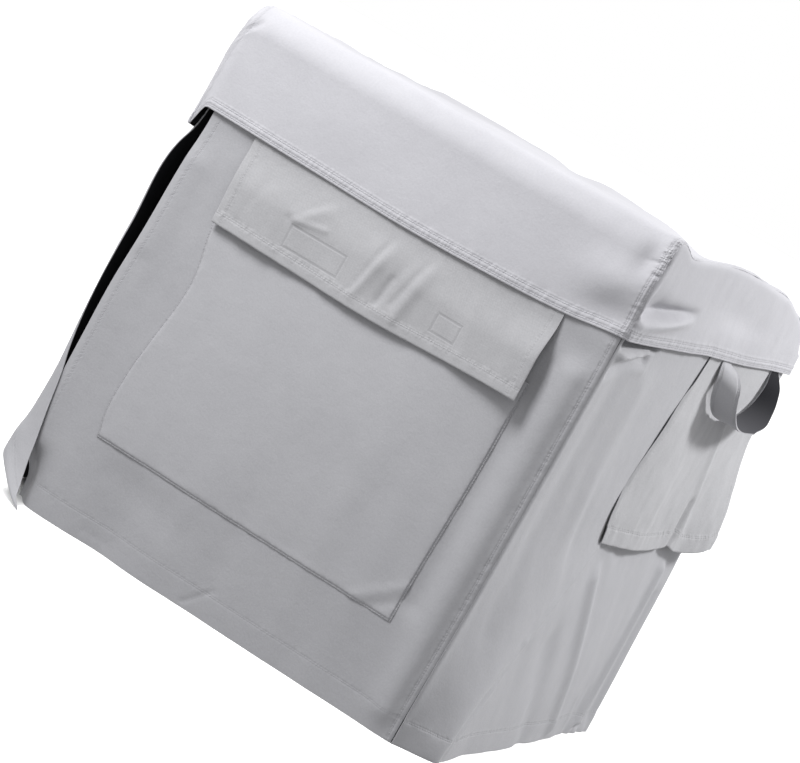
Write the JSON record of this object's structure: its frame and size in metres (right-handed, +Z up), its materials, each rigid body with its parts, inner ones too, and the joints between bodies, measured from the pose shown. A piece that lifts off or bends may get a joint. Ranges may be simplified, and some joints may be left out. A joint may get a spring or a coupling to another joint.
{
  "type": "generator cover",
  "caption": "Loose box-shaped grey cloth cover for a portable generator, with a hood, a patch under a flap, a side flap and a carrying strap, open underneath.",
  "frame": {"origin": "middle of the footprint of the cover as it stands, on the floor", "axes": "+X to the cover's right as seen from its front, +Y towards its back, +Z up; the front faces -Y"},
  "size_m": [0.6286, 0.7449, 0.6143],
  "materials": {
    "hood_cloth": "plain woven polyester, grey outside, black inside",
    "wall_cloth": "plain woven polyester, grey outside, black inside",
    "patch_cloth": "plain woven polyester, sewn down flat",
    "flap_cloth": "plain woven polyester with a coarser weave",
    "strap_cloth": "folded woven polyester, black inside"
  },
  "bodies": {
    "root": {"hood_centre": "hood_cloth", "hood_right_band": "hood_cloth", "hood_left_band": "hood_cloth", "front_wall": "wall_cloth", "right_wall": "wall_cloth", "back_wall": "wall_cloth", "left_wall": "wall_cloth", "pocket_patch": "patch_cloth", "front_flap": "flap_cloth", "side_flap": "flap_cloth", "carry_strap": "strap_cloth"}
  },
  "joints": []
}
